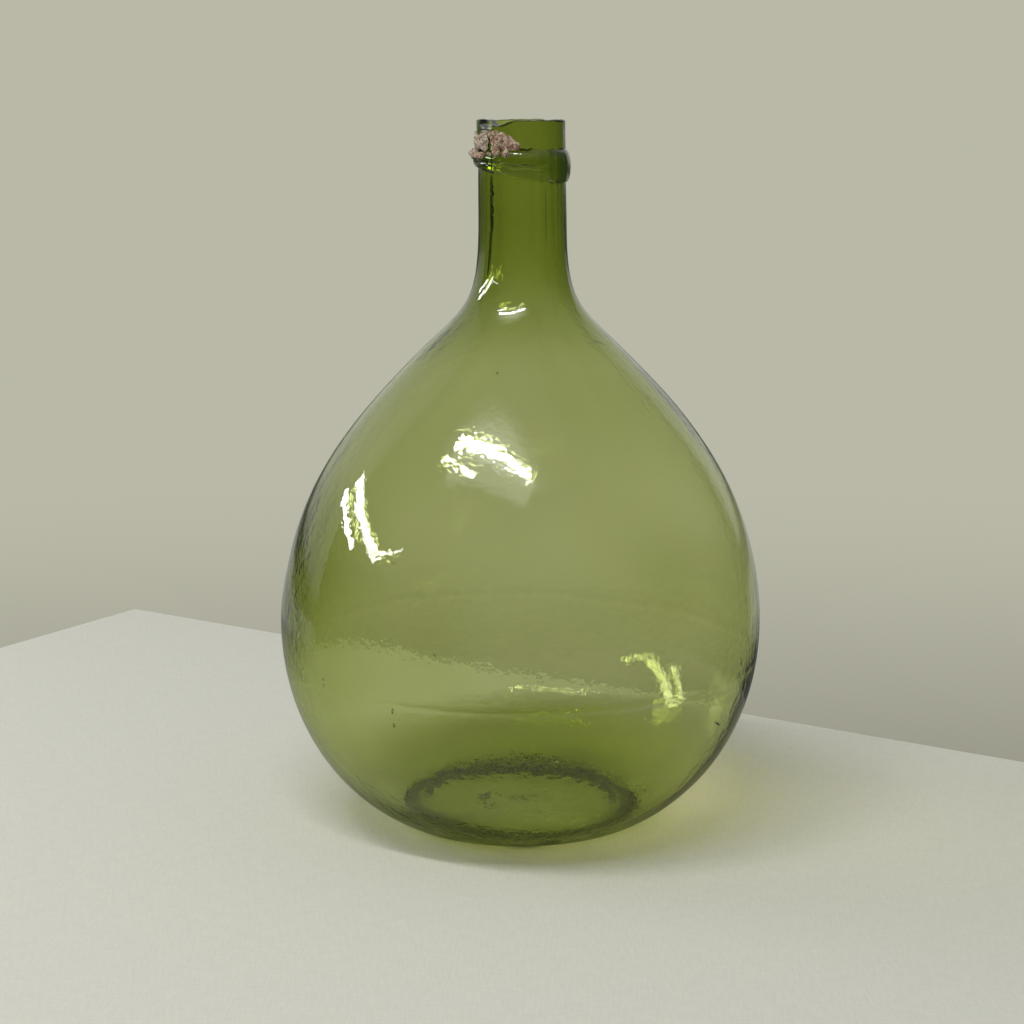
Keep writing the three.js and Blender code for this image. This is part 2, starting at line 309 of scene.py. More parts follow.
def polar(angle, reach=1, height=0):
    """The place at an angle round the axis, at this reach from it and this height."""
    turn = math.radians(angle)
    return Vector((math.cos(turn) * reach, math.sin(turn) * reach, height))


# Colour and node helpers


def srgb(code):
    """Linear colour of a hex code such as 6f8a2c."""
    parts = [int(code[i : i + 2], 16) / 255 for i in (0, 2, 4)]
    linear = [c / 12.92 if c <= 0.04045 else ((c + 0.055) / 1.055) ** 2.4 for c in parts]
    return (*linear, 1.0)


def add_node(tree, kind, settings=None, links=None):
    """A node with its settings, and its inputs set to values or joined to other nodes' outputs."""
    node = tree.nodes.new(kind)
    for name, value in (settings or {}).items():
        setattr(node, name, value)
    for name, value in (links or {}).items():
        if isinstance(value, bpy.types.NodeSocket):
            tree.links.new(value, node.inputs[name])
        else:
            node.inputs[name].default_value = value
    return node


def new_material(name):
    material = bpy.data.materials.new(name)
    material.use_nodes = True
    material.node_tree.nodes.clear()
    return material, material.node_tree


def dress(piece, material):
    piece.data.materials.clear()
    piece.data.materials.append(material)


# Modelling helpers


def select_only(piece):
    bpy.ops.object.select_all(action="DESELECT")
    piece.select_set(True)
    bpy.context.view_layer.objects.active = piece


def start_edit(piece):
    select_only(piece)
    bpy.ops.object.mode_set(mode="EDIT")
    bpy.ops.mesh.select_all(action="SELECT")


def end_edit():
    bpy.ops.object.mode_set(mode="OBJECT")


def join(pieces):
    """Makes all the pieces part of the first."""
    select_only(pieces[0])
    for piece in pieces:
        piece.select_set(True)
    bpy.ops.object.join()


def refine(piece, kind, wanted, cuts):
    """Cuts a piece's wanted edges or faces into smaller ones. kind is EDGE or FACE."""
    start_edit(piece)
    bpy.ops.mesh.select_all(action="DESELECT")
    bpy.ops.mesh.select_mode(type=kind)
    end_edit()
    for part in piece.data.edges if kind == "EDGE" else piece.data.polygons:
        part.select = wanted(part)
    bpy.ops.object.mode_set(mode="EDIT")
    bpy.ops.mesh.subdivide(number_cuts=cuts)
    bpy.ops.mesh.select_mode(type="VERT")
    end_edit()


def stretch(start, leaving, arriving, end, steps):
    """One stretch of an outline, (radius, height), from start to end with a handle at each."""
    bpy.ops.object.select_all(action="DESELECT")
    bpy.ops.curve.primitive_bezier_curve_add(location=(0, 0, 0))
    curve = bpy.context.object
    curve.data.dimensions = "3D"
    spline = curve.data.splines[0]
    spline.resolution_u = steps
    first, last = spline.bezier_points
    for point, place, back, on in ((first, start, start, leaving), (last, end, arriving, end)):
        point.handle_left_type = "FREE"
        point.handle_right_type = "FREE"
        point.co = (place[0] * MM, 0, place[1] * MM)
        point.handle_left = (back[0] * MM, 0, back[1] * MM)
        point.handle_right = (on[0] * MM, 0, on[1] * MM)
    bpy.ops.object.convert(target="MESH")
    return bpy.context.object


def straight(start, end, steps):
    third = [mix(a, b, 1 / 3) for a, b in zip(start, end)]
    two_thirds = [mix(a, b, 2 / 3) for a, b in zip(start, end)]
    return stretch(start, third, two_thirds, end, steps)


def swing(start, end, steps):
    """A stretch that leaves and arrives level, such as the side of the push-up."""
    middle = (start[0] + end[0]) / 2
    return stretch(start, (middle, start[1]), (middle, end[1]), end, steps)


def lining(outer, first, final, wall):
    """A copy of an outline's stretch, moved square through the wall to its inner face.

    first and final are the outline's directions at its ends, and wall(share) is the thickness.
    """
    select_only(outer)
    bpy.ops.object.duplicate()
    inner = bpy.context.object
    points = [v.co.xz for v in outer.data.vertices]
    last = len(points) - 1
    directions = [first] + [points[i + 1] - points[i - 1] for i in range(1, last)] + [final]
    for i, (point, along) in enumerate(zip(points, directions)):
        inwards = Vector((-along[1], along[0])).normalized()
        inner.data.vertices[i].co.xz = point + inwards * wall(i / last) * MM
    return inner


def spun(name, stretches):
    """The closed surface that a chain of stretches sweeps about the Z axis."""
    join(stretches)
    piece = stretches[0]
    piece.name = name
    piece.data.name = name
    start_edit(piece)
    bpy.ops.mesh.remove_doubles(threshold=1e-6)
    bpy.ops.mesh.spin(steps=AROUND, angle=2 * math.pi, center=(0, 0, 0), axis=(0, 0, 1), use_auto_merge=True)
    bpy.ops.mesh.select_all(action="SELECT")
    bpy.ops.mesh.remove_doubles(threshold=5e-6)
    bpy.ops.mesh.normals_make_consistent(inside=False)
    end_edit()
    return piece


# Vessel


def vessel():
    """The vessel's turned surface, from the middle of the base round to the floor inside."""
    land = FOOT_RADIUS - FOOT_WIDTH
    neck_wall = NECK_ROOT_RADIUS - BORE_RADIUS
    slope = math.radians(SHOULDER_SLOPE)
    turn = Vector((SHOULDER_RADIUS, SHOULDER_HEIGHT))
    down = Vector((math.cos(slope), -math.sin(slope)))
    full = turn + down * FULL_SWEEP * (turn - Vector((BELLY_RADIUS, BELLY_HEIGHT))).length
    hollow = turn - down * HOLLOW_SWEEP * (turn - Vector((NECK_ROOT_RADIUS, NECK_ROOT_HEIGHT))).length
    lip_edge = MOUTH_HEIGHT - LIP_ROUNDING
    lip_top = (LIP_RADIUS - LIP_ROUNDING, MOUTH_HEIGHT)
    bore_top = (BORE_RADIUS + LIP_ROUNDING, MOUTH_HEIGHT)
    up_neck = (THREAD_FOOT - NECK_ROOT_HEIGHT) / (COLLAR_SEAT_HEIGHT - NECK_ROOT_HEIGHT)
    neck_at_thread = mix(NECK_ROOT_RADIUS, COLLAR_SEAT_RADIUS, up_neck)

    def low_wall(share):
        above_heel = mix(LOW_WALL, BELLY_WALL, smooth(*LOW_TAPER, share))
        return mix(HEEL_WALL, above_heel, smooth(0, HEEL_TAPER, share))

    lower = stretch(
        (FOOT_RADIUS, 0),
        (mix(FOOT_RADIUS, BELLY_RADIUS, HEEL_SWEEP), 0),
        (BELLY_RADIUS, BELLY_HEIGHT * (1 - LOWER_FULLNESS)),
        (BELLY_RADIUS, BELLY_HEIGHT),
        steps=50,
    )
    upper = stretch(
        (BELLY_RADIUS, BELLY_HEIGHT),
        (BELLY_RADIUS, mix(BELLY_HEIGHT, SHOULDER_HEIGHT, UPPER_FULLNESS)),
        full,
        turn,
        steps=52,
    )
    shoulder = stretch(
        turn,
        hollow,
        (NECK_ROOT_RADIUS, mix(NECK_ROOT_HEIGHT, SHOULDER_HEIGHT, NECK_SWEEP)),
        (NECK_ROOT_RADIUS, NECK_ROOT_HEIGHT),
        steps=36,
    )
    outside = [
        straight((0, KICK_HEIGHT), (land - KICK_SIDE, KICK_HEIGHT), steps=18),
        swing((land - KICK_SIDE, KICK_HEIGHT), (land, 0), steps=12),
        straight((land, 0), (FOOT_RADIUS, 0), steps=3),
        lower,
        upper,
        shoulder,
        straight((NECK_ROOT_RADIUS, NECK_ROOT_HEIGHT), (neck_at_thread, THREAD_FOOT), steps=8),
        straight((neck_at_thread, THREAD_FOOT), (COLLAR_SEAT_RADIUS, COLLAR_SEAT_HEIGHT), steps=24),
        straight((COLLAR_SEAT_RADIUS, COLLAR_SEAT_HEIGHT), (LIP_RADIUS, lip_edge), steps=44),
        straight((LIP_RADIUS, lip_edge), lip_top, steps=2),
    ]
    inside = [
        straight(lip_top, bore_top, steps=7),
        straight(bore_top, (BORE_RADIUS, lip_edge), steps=2),
        straight((BORE_RADIUS, lip_edge), (BORE_RADIUS, NECK_ROOT_HEIGHT), steps=12),
        lining(shoulder, -down, (0, 1), lambda share: mix(SHOULDER_WALL, neck_wall, share)),
        lining(upper, (0, 1), -down, lambda share: mix(BELLY_WALL, SHOULDER_WALL, share)),
        lining(lower, (1, 0), (0, 1), low_wall),
        straight((FOOT_RADIUS, HEEL_WALL), (0, HEEL_WALL), steps=20),
    ]
    for piece in inside:
        piece.vertex_groups.new(name="inside").add(range(len(piece.data.vertices)), 1, "REPLACE")
    return spun("vessel", outside + inside)


def on_inner_face(piece, vertex):
    inside = piece.vertex_groups["inside"].index
    return any(g.group == inside for g in vertex.groups)


def outer_face(piece, low, high):
    """The vertices of the outer face between two heights."""
    return [v for v in piece.data.vertices if low < v.co.z / MM < high and v.co.xy.dot(v.normal.xy) > 0]


def cut_seams(piece):
    """Edges where the mould's parts met: one line round the body, and one up each side above it."""
    start_edit(piece)
    for side in (-1, 0, 1):
        for normal, middle in ((polar(SEAM_ANGLE + 90), Vector()), (UP, UP * SEAM_HEIGHT)):
            place = middle + normal * side * SEAM_WIDTH / 2
            bpy.ops.mesh.select_all(action="SELECT")
            bpy.ops.mesh.bisect(plane_co=place * MM, plane_no=normal)
    end_edit()


def seam_swell(place):
    """How far the glass stands out at a seam."""
    on_ring = abs(place.z - SEAM_HEIGHT) < SEAM_NEAR
    in_plane = abs(place.dot(polar(SEAM_ANGLE + 90))) < SEAM_NEAR
    on_side = in_plane and SEAM_HEIGHT < place.z < COLLAR_TOP - COLLAR_TALLEST
    return SEAM_PROUD if on_ring or on_side else 0


def lean(height):
    """How far the vessel's middle lies to the right at a height."""
    for (low, left), (high, right) in zip(LEAN, LEAN[1:]):
        if height <= high:
            return mix(left, right, smooth(low, high, height))
    return LEAN[-1][1]


def wave(place, pattern):
    """How far one of the blowing's waves moves a face at a place."""
    length, height, in_neck, start = pattern
    height *= mix(1, in_neck, smooth(NECK_ROOT_HEIGHT - NECK_CALM, NECK_ROOT_HEIGHT, place.z))
    return height * noise.noise(place / length + Vector(start))


def outer_shift(place):
    """How far blowing and the mould moved the outer face outwards."""
    return (wave(place, OUTER_WAVE) + seam_swell(place)) * smooth(*FOOT_CALM, place.z)


def inner_shift(place):
    """How far blowing moved the inner face into the hollow."""
    if place.z > COLLAR_TOP:
        return 0
    shift = wave(place, INNER_WAVE)
    radius = math.hypot(place.x, place.y)
    turn = math.radians(angle_of(place))
    right, back = math.cos(turn), math.sin(turn)
    wide, tall, thick, in_neck = STREAK
    around = BELLY_RADIUS / wide
    thick *= mix(1, in_neck, smooth(NECK_ROOT_HEIGHT - STREAK_RISE, NECK_ROOT_HEIGHT, place.z))
    shift += thick * noise.noise(Vector((right * around, back * around, place.z / tall)))
    belly = within(place.z, SIDE_RISE, SIDE_FALL)
    shift += THICKER_LEFT * belly * max(0, -right) ** SIDE_FOCUS
    shift -= THINNER_RIGHT * belly * max(0, right) ** SIDE_FOCUS
    heel = smooth(*BACK_FROM, radius) * fade(*BACK_TOP, place.z)
    shift += BACK_HEEL * heel * max(0, back) ** BACK_FOCUS
    length, height = FOLD
    folds = within(radius, FOLD_RISE, FOLD_FALL) * fade(*FOLD_TOP, place.z)
    return shift + height * folds * noise.noise(place / length)


def blow(piece):
    """Gives the glass the waves, the lean and the uneven thickness that blowing by mouth leaves."""
    normals = [v.normal.copy() for v in piece.data.vertices]
    for vertex, normal in zip(piece.data.vertices, normals):
        place = vertex.co / MM
        fuller = within(place.z, FULLER_RISE, FULLER_FALL) * LOW_FULLER
        if on_inner_face(piece, vertex):
            vertex.co += normal * (inner_shift(place) - fuller) * MM
        else:
            vertex.co += normal * (outer_shift(place) + fuller) * MM
        vertex.co.x += lean(place.z) * MM


def collar_swell(angle, height):
    """How far the thread of glass stands out of the neck."""
    overlap = (1 + math.cos(math.radians(angle - OVERLAP_ANGLE))) / 2
    wander = polar(angle - OVERLAP_ANGLE, *COLLAR_WANDER)
    tall = mix(COLLAR_NARROWEST, COLLAR_TALLEST, overlap) + COLLAR_WAVER * noise.noise(wander)
    top = COLLAR_TOP + COLLAR_WAVER * noise.noise(wander + Vector((ELSEWHERE, 0, 0)))
    share = (height - (top - tall)) / tall
    if not 0 < share < 1:
        return 0
    proud = COLLAR_PROUD * (1 + COLLAR_UNEVEN * noise.noise(wander + Vector((0, ELSEWHERE, 0))))
    swell = proud * math.sqrt(1 - (2 * share - 1) ** 2)
    across = apart(angle, FACET_ANGLE) / FACET_SPREAD
    swell = min(swell, COLLAR_PROUD * mix(FACET_LEVEL, 1, across * across))
    middle, wide, deep = CREASE
    often, far = CREASE_WAVER
    middle += far * noise.noise(wander * often)
    start, end = CREASE_ENDS
    along = within(angle, (start, start + CREASE_TAPER), (end - CREASE_TAPER, end))
    swell -= min(swell, deep) * along * fade(0, wide, abs(share - middle))
    if share > TICK_FROM:
        swell -= min(swell, TICK_DEPTH) * fade(0, TICK_SPREAD, apart(angle, TICK_ANGLE))
    return swell


def edge_drop(angle):
    """How far the mouth's edge lies below its full height."""
    turn = math.radians(angle)
    waves = LIP_WAVE * (1 + sum(share * math.sin(count * turn + shift) for count, share, shift in LIP_WAVES))
    *circle, height = LIP_ROUGH
    rough = height * noise.noise(polar(angle, *circle))
    return max(0, waves + rough + CHIP_DIP * fade(0, CHIP_SPREAD, apart(angle, CHIP_ANGLE)))


def shape_neck(piece):
    """Swells the thread of glass out of the neck, and gives the mouth its uneven edge."""
    low, high = [MOUTH_HEIGHT - below for below in LIP_REACH]
    for vertex in piece.data.vertices:
        place = vertex.co / MM
        if place.z < NECK_SHAPED_FROM:
            continue
        out = Vector((place.x - lean(place.z), place.y, 0))
        angle = angle_of(out)
        if out.length > NECK_FACE_RADIUS:
            vertex.co += out.normalized() * collar_swell(angle, place.z) * MM
        vertex.co.z -= edge_drop(angle) * smooth(low, high, place.z) * MM


def chip_lip(piece):
    """Strikes a shell-shaped flake off the mouth's edge, with the ripples that such a break leaves."""
    low, inner, spread = FLAKE_FINE

    def near_flake(face):
        place = face.center / MM
        beside = apart(angle_of(place), FLAKE_ANGLE) < spread
        return beside and place.z > low and math.hypot(place.x, place.y) > inner

    refine(piece, "FACE", near_flake, cuts=2)
    close, high = FLAKE_RIPPLE
    length, height = FLAKE_ROUGH
    middle = polar(FLAKE_ANGLE, LIP_RADIUS + FLAKE_RADIUS - FLAKE_DEPTH, MOUTH_HEIGHT - FLAKE_DROP)
    struck = middle + UP * FLAKE_RADIUS
    for vertex in piece.data.vertices:
        place = vertex.co / MM
        off = place - middle
        if off.length < FLAKE_RADIUS:
            ripple = high * math.sin((place - struck).length * close) + height * noise.noise(place / length)
            vertex.co = (middle + off.normalized() * (FLAKE_RADIUS + ripple)) * MM


def scar(piece):
    """Raises what is left of the rod's glass under the base, fused to it."""
    inner, outer = SCAR_REGION

    def near_scar(place):
        return place.z < SCAR_CEILING and inner < math.hypot(place.x, place.y) < outer

    refine(piece, "FACE", lambda face: near_scar(face.center / MM), cuts=2)
    average, varied = SCAR_UNEVEN
    for vertex in piece.data.vertices:
        place = vertex.co / MM
        if not near_scar(place) or on_inner_face(piece, vertex):
            continue
        ragged = noise.noise(place / SCAR_RAGGED)
        past_end = apart(angle_of(place), (SCAR_FROM + SCAR_TO) / 2) - (SCAR_TO - SCAR_FROM) / 2
        strong = fade(0, SCAR_FADE, past_end + SCAR_END_WANDER * ragged)
        off_ring = abs(math.hypot(place.x, place.y) - SCAR_RADIUS + SCAR_RING_WANDER * ragged)
        ring = fade(0, SCAR_WIDTH / 2, off_ring)
        vertex.co.z -= SCAR_PROUD * mix(SCAR_FAINT, 1, strong) * ring * (average + varied * ragged) * MM


def bubble(place, size, turn=(0, 0, 0)):
    """A closed hollow in the glass: an ellipsoid whose faces look inwards."""
    bpy.ops.object.select_all(action="DESELECT")
    bpy.ops.mesh.primitive_uv_sphere_add(
        segments=16,
        ring_count=10,
        radius=1,
        location=Vector(place) * MM,
        rotation=turn,
        scale=Vector(size) * MM,
    )
    hollow = bpy.context.object
    bpy.ops.object.transform_apply(location=True, rotation=True, scale=True)
    start_edit(hollow)
    bpy.ops.mesh.flip_normals()
    end_edit()
    return hollow


def bubbles(piece):
    """The seeds, strings and air lines in the wall, under the outer face, and the blister in the heel."""
    skin = outer_face(piece, *BUBBLE_HEIGHTS)
    hollows = [bubble(BLISTER_PLACE, BLISTER_SIZE)]
    seeds = [(*seed, min(SEED_WIDEST, SEED_ROUND * seed[2])) for seed in SEEDS]
    for angle, height, length, slant, thin in (*seeds, *AIR_LINES):
        way = polar(angle).xy

        def distance(vertex):
            arc = vertex.co.xy.normalized().angle(way) * ARC_LENGTH
            return math.hypot(vertex.co.z / MM - height, arc)

        near = min(skin, key=distance)
        out = near.normal.copy()
        level = UP.cross(out).normalized()
        leaning = Matrix.Rotation(math.radians(slant), 3, out)
        axes = Matrix((leaning @ level, leaning @ out.cross(level), out)).transposed()
        place = near.co / MM - out * BUBBLE_DEPTH
        hollows.append(bubble(place, (thin, length, BUBBLE_FLAT), axes.to_euler()))
    join([piece, *hollows])


def shade_line(piece):
    """Painted shade: a streak of dark glass drawn out inside the neck's wall, as a thin closed rod."""
    (first_angle, first_height), (last_angle, last_height) = SHADE_LINE_ENDS
    skin = [v.co / MM for v in outer_face(piece, *SHADE_LINE_HEIGHTS)]
    skin = [p for p in skin if apart(angle_of(p), first_angle) < SHADE_LINE_NEAR]
    bpy.ops.object.select_all(action="DESELECT")
    bpy.ops.mesh.primitive_cylinder_add(vertices=12, radius=1, depth=1)
    rod = bpy.context.object
    rod.name = "shade_line"

    # The plain rod is 1 long, with its middle at the origin, and each height on it is a share of the streak
    def upright(edge):
        low, high = sorted(rod.data.vertices[v].co.z for v in edge.vertices)
        return low < 0 < high

    refine(rod, "EDGE", upright, cuts=40)
    for vertex in rod.data.vertices:
        share = 0.5 - vertex.co.z
        height = mix(first_height, last_height, share)
        near = min(skin, key=lambda p: abs(p.z - height))
        out = polar(mix(first_angle, last_angle, share))
        thick = SHADE_LINE_RADIUS * math.sqrt(max(SHADE_LINE_TIP, 1 - (2 * share - 1) ** SHADE_LINE_FULLNESS))
        reach = math.hypot(near.x - lean(height), near.y) - SHADE_LINE_DEPTH + SHADE_LINE_FLAT * thick * vertex.co.x
        place = out * reach + UP.cross(out) * thick * vertex.co.y + Vector((lean(height), 0, height))
        vertex.co = place * MM
    select_only(rod)
    bpy.ops.object.shade_smooth()
    return rod


# Seal


def crust(node, lumps):
    """A crumbled piece of the seal: the frame's plain one with lumps added, roughened all over."""
    plain = frame["nodes"][node]
    piece = bpy.data.objects.new(node + "_crust", plain.data.copy())
    bpy.context.collection.objects.link(piece)
    piece.data.transform(plain.matrix_world)
    piece.data.materials.clear()
    parts = [piece]
    for angle, height, radius in lumps:
        reach = COLLAR_SEAT_RADIUS + (LUMP_ON_THREAD if height < COLLAR_TOP else LUMP_ABOVE)
        bpy.ops.object.select_all(action="DESELECT")
        bpy.ops.mesh.primitive_ico_sphere_add(
            subdivisions=3,
            radius=radius * MM,
            location=polar(angle, reach * MM, height * MM),
        )
        bpy.ops.object.transform_apply(location=True)
        parts.append(bpy.context.object)
    join(parts)
    remesh = piece.modifiers.new("grain", "REMESH")
    remesh.mode = "VOXEL"
    remesh.voxel_size = CRUST_GRAIN * MM
    bpy.ops.object.modifier_apply(modifier=remesh.name)
    normals = [v.normal.copy() for v in piece.data.vertices]
    for vertex, normal in zip(piece.data.vertices, normals):
        place = vertex.co / MM
        shift = sum(height * noise.noise(place / length) for length, height in CRUST_ROUGH)
        vertex.co += normal * shift * MM
        vertex.co.x += lean(place.z) * MM
    return piece


# Materials


def green_glass():
    """Blown soda-lime glass, green from the iron in its sand.

    It is clear, smooth and wet-looking, and darker where it is thicker.
    """
    material, tree = new_material("green blown glass")
    place = add_node(tree, "ShaderNodeTexCoord").outputs["Object"]

    # Small pits, and longer ripples over them
    relief = {}
    for length, depth, detail, roughness in ((2.6, 0.028, 1.0, 0.5), (7, 0.1, 2.5, 0.62)):
        links = {"Vector": place, "Scale": 1 / (length * MM), "Detail": detail, "Roughness": roughness}
        waves = add_node(tree, "ShaderNodeTexNoise", links=links).outputs[0]
        links = {"Height": waves, "Strength": 1.0, "Distance": depth * MM, **relief}
        relief = {"Normal": add_node(tree, "ShaderNodeBump", links=links).outputs[0]}
    surface = add_node(
        tree,
        "ShaderNodeBsdfPrincipled",
        links={
            "Base Color": srgb("ffffff"),
            "Roughness": 0.0,
            "IOR": 1.52,
            "Transmission Weight": 1.0,
            **relief,
        },
    )

    # Its shadow: what light keeps of itself at each face, least where it grazes the glass and in the base
    facing = add_node(tree, "ShaderNodeLayerWeight", links={"Blend": 0.5}).outputs["Facing"]
    grazing = add_node(tree, "ShaderNodeMath", {"operation": "POWER"}, {0: facing, 1: 2.0}).outputs[0]
    height = add_node(tree, "ShaderNodeSeparateXYZ", links={0: place}).outputs["Z"]
    limits = {"From Min": 5 * MM, "From Max": 10 * MM, "To Min": 1.0, "To Max": 0.0}
    in_base = add_node(tree, "ShaderNodeMapRange", links={"Value": height, **limits}).outputs[0]
    kept = srgb("eae3f3")
    for share, colour in ((grazing, "bfb5b5"), (in_base, "b1b381")):
        links = {0: share, 6: kept, 7: srgb(colour)}
        kept = add_node(tree, "ShaderNodeMix", {"data_type": "RGBA"}, links).outputs[2]
    clear = add_node(tree, "ShaderNodeBsdfTransparent", links={"Color": kept})
    path = add_node(tree, "ShaderNodeLightPath")
    both = add_node(
        tree,
        "ShaderNodeMixShader",
        links={0: path.outputs["Is Shadow Ray"], 1: surface.outputs[0], 2: clear.outputs[0]},
    )

    # Its colour: how fast red, green and blue die away in it, and a density past all three,
    # because the node takes the density times what the colour lacks
    per_metre = (131, 107, 313)
    density = 350
    tint = [1 - fall / density for fall in per_metre]
    body = add_node(tree, "ShaderNodeVolumeAbsorption", links={"Color": (*tint, 1), "Density": density})
    add_node(tree, "ShaderNodeOutputMaterial", links={"Surface": both.outputs[0], "Volume": body.outputs[0]})
    return material


def shade_line_glass():
    """Painted shade: nearly black glass that darkens a line in the neck.

    It is nearly black where it is thick. Its IOR is low, so that it bends light little.
    """
    material, tree = new_material("painted shade line in the glass")
    surface = add_node(
        tree,
        "ShaderNodeBsdfPrincipled",
        links={"Base Color": srgb("303c10"), "Roughness": 0.4, "IOR": 1.1},
    )
    add_node(tree, "ShaderNodeOutputMaterial", links={"Surface": surface.outputs[0]})
    return material


def old_wax(name, pale, dark, crack):
    """Dry old sealing wax: crumbled, in two faded tones, with dark cracks."""
    material, tree = new_material(name)
    place = add_node(tree, "ShaderNodeTexCoord").outputs["Object"]
    tone = srgb(pale)
    for size, detail, low, high, colour in ((2.2, 3, 0.42, 0.60, dark), (0.8, 5, 0.46, 0.36, crack)):
        links = {"Vector": place, "Scale": 1 / (size * MM), "Detail": detail}
        grain = add_node(tree, "ShaderNodeTexNoise", links=links).outputs[0]
        links = {"Value": grain, "From Min": low, "From Max": high}
        share = add_node(tree, "ShaderNodeMapRange", {"interpolation_type": "SMOOTHSTEP"}, links).outputs[0]
        links = {0: share, 6: tone, 7: srgb(colour)}
        tone = add_node(tree, "ShaderNodeMix", {"data_type": "RGBA"}, links).outputs[2]
    links = {"Height": grain, "Strength": 1.0, "Distance": 0.35 * MM}
    crumbly = add_node(tree, "ShaderNodeBump", links=links)
    surface = add_node(
        tree,
        "ShaderNodeBsdfPrincipled",
        links={"Base Color": tone, "Roughness": 0.8, "Normal": crumbly.outputs[0]},
    )
    add_node(tree, "ShaderNodeOutputMaterial", links={"Surface": surface.outputs[0]})
    return material


def cotton():
    """Plain-woven cotton, nearly white: threads both ways, none quite alike."""
    material, tree = new_material("pale cotton")
    place = add_node(tree, "ShaderNodeTexCoord").outputs["Object"]
    threads = []
    for across, along in ((0.9, 9), (9, 0.9)):
        turned = add_node(
            tree,
            "ShaderNodeMapping",
            links={
                "Vector": place,
                "Rotation": (0, 0, -math.radians(FLOOR_TURN)),
                "Scale": (1 / (across * MM), 1 / (along * MM), 1),
            },
        )
        links = {"Vector": turned.outputs[0], "Scale": 1.0, "Detail": 2}
        threads.append(add_node(tree, "ShaderNodeTexNoise", links=links).outputs[0])
    woven = add_node(tree, "ShaderNodeMath", {"operation": "ADD"}, {0: threads[0], 1: threads[1]}).outputs[0]
    share = add_node(tree, "ShaderNodeMapRange", links={"Value": woven, "From Min": 0.8, "From Max": 1.2})
    shade = add_node(
        tree,
        "ShaderNodeMix",
        settings={"data_type": "RGBA"},
        links={0: share.outputs[0], 6: srgb("cfcfc3"), 7: srgb("d5d5c9")},
    )
    links = {"Height": woven, "Strength": 0.35, "Distance": 0.12 * MM}
    relief = add_node(tree, "ShaderNodeBump", links=links)
    surface = add_node(
        tree,
        "ShaderNodeBsdfPrincipled",
        links={"Base Color": shade.outputs[2], "Roughness": 0.9, "Normal": relief.outputs[0]},
    )

    # Painted shade: darker where the glass mirrors it, standing in for the shade near the vessel
    path = add_node(tree, "ShaderNodeLightPath")
    mirrored = add_node(
        tree,
        "ShaderNodeMath",
        settings={"operation": "MINIMUM"},
        links={0: path.outputs["Is Reflection Ray"], 1: path.outputs["Is Glossy Ray"]},
    )
    mirrored_shade = add_node(
        tree,
        "ShaderNodeMath",
        settings={"operation": "MULTIPLY"},
        links={0: mirrored.outputs[0], 1: FLOOR_MIRRORED_SHADE},
    )
    dark = add_node(tree, "ShaderNodeBsdfDiffuse", links={"Color": srgb("000000")})
    both = add_node(
        tree,
        "ShaderNodeMixShader",
        links={0: mirrored_shade.outputs[0], 1: surface.outputs[0], 2: dark.outputs[0]},
    )
    add_node(tree, "ShaderNodeOutputMaterial", links={"Surface": both.outputs[0]})
    return material


# The demijohn

bottle = vessel()
cut_seams(bottle)
blow(bottle)
shape_neck(bottle)
chip_lip(bottle)
scar(bottle)
bubbles(bottle)
select_only(bottle)
bpy.ops.object.shade_smooth_by_angle(angle=math.radians(40))
dress(bottle, green_glass())
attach(bottle, "root")
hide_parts("bottle_body", "neck_collar", "pontil_scar")

# A streak of painted shade in the neck's wall
streak = shade_line(bottle)
dress(streak, shade_line_glass())
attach(streak, "root")

grey_wax = old_wax("old wax gone grey", "b3a794", "94836e", "4a3c30")
pink_wax = old_wax("old wax gone pink", "b8a48c", "92705c", "33251a")
for node, lumps, material, slot in (
    ("seal_wax_left", LEFT_LUMPS, grey_wax, "grey_wax"),
    ("seal_wax_right", RIGHT_LUMPS, pink_wax, "pink_wax"),
    ("seal_wax_crumb", CRUMB_LUMPS, pink_wax, "pink_wax"),
):
    piece = crust(node, lumps)
    dress(piece, material)
    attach(piece, "root")
    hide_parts(node)


# Stage

FLOOR_CORNER = (-250.6, 395.2)  # the far corner of the pale floor
FLOOR_TURN = -32.9
FLOOR_SIZE = (1700, 1300)
FLOOR_THICKNESS = 24
# Painted shade on the floor, in the glass's reflections of it
FLOOR_MIRRORED_SHADE = 0.55  # how much of its light is lost where the glass mirrors it

# Lamps, long plain strips, seen from the lit point between two directions:
# azimuth, 0 at the front and + to the right, and elevation
LIT_POINT = (0, 0, 180)
LAMPS = {
    "overhead_light": {"ends": ((-66, 56.5), (7, 56)), "away": 1750, "width": 85, "power": 13},
    "overhead_light_low": {"ends": ((-68, 51.5), (-40, 53)), "away": 1740, "width": 45, "power": 2},
    "side_light_wide": {"ends": ((-115, 23), (-77, 14.5)), "away": 1700, "width": 105, "power": 5.5},
    "side_light_narrow": {"ends": ((-119, 17), (-95, 13)), "away": 1700, "width": 50, "power": 2.5},
    "side_light_low": {"ends": ((-77, 15.5), (-64, 21)), "away": 1700, "width": 32, "power": 1},
}

